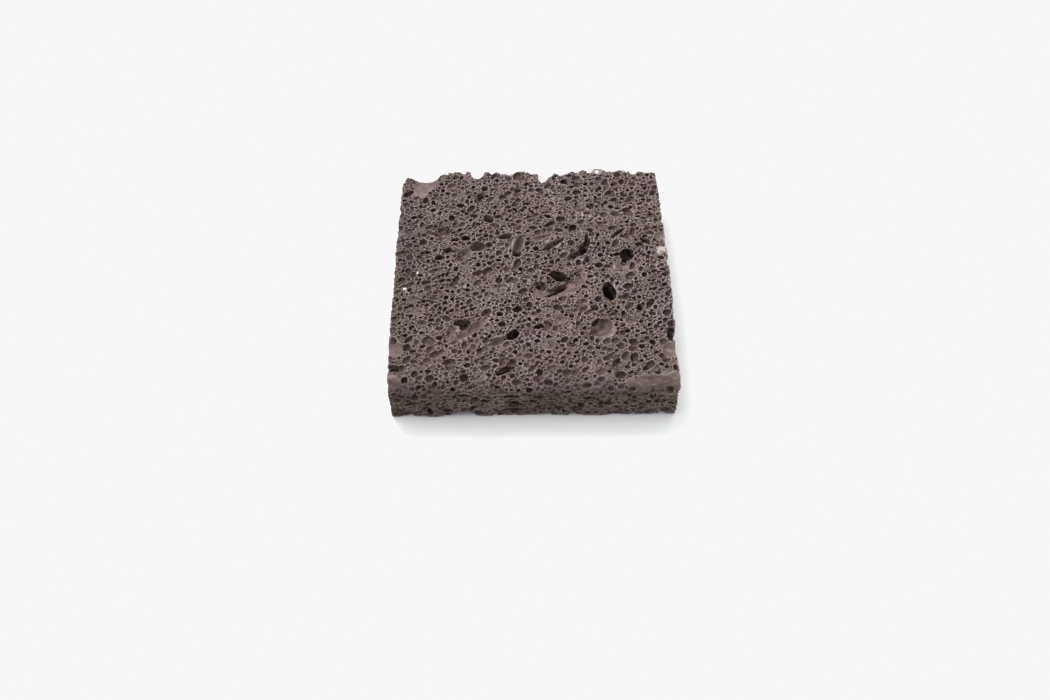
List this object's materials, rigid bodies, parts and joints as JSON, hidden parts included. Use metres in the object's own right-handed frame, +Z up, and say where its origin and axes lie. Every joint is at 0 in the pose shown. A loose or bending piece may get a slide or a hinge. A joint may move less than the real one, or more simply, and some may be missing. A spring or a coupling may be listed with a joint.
{
  "type": "vesicular lava stone slab",
  "caption": "Flat square slab of dark vesicular lava stone, sawn on top and sides, with a broken back edge and small pale mineral grains set in its top.",
  "frame": {"origin": "middle of the slab's underside, on the surface that the slab lies on", "axes": "+Z up out of the sawn top face, -Y out of the sawn front face, +X to the right seen from the front"},
  "size_m": [0.1008, 0.1024, 0.018],
  "materials": {
    "scoria": "rough, porous, matt, sawn and unpolished",
    "cream_mineral": "cream crystalline mineral, matt with small bright facets",
    "white_mineral": "white crystalline mineral, slightly translucent, satin"
  },
  "bodies": {
    "root": {"scoria_slab": "scoria", "cream_mineral_inclusion": "cream_mineral", "white_grain_left": "white_mineral", "white_grain_small": "white_mineral"}
  },
  "joints": []
}
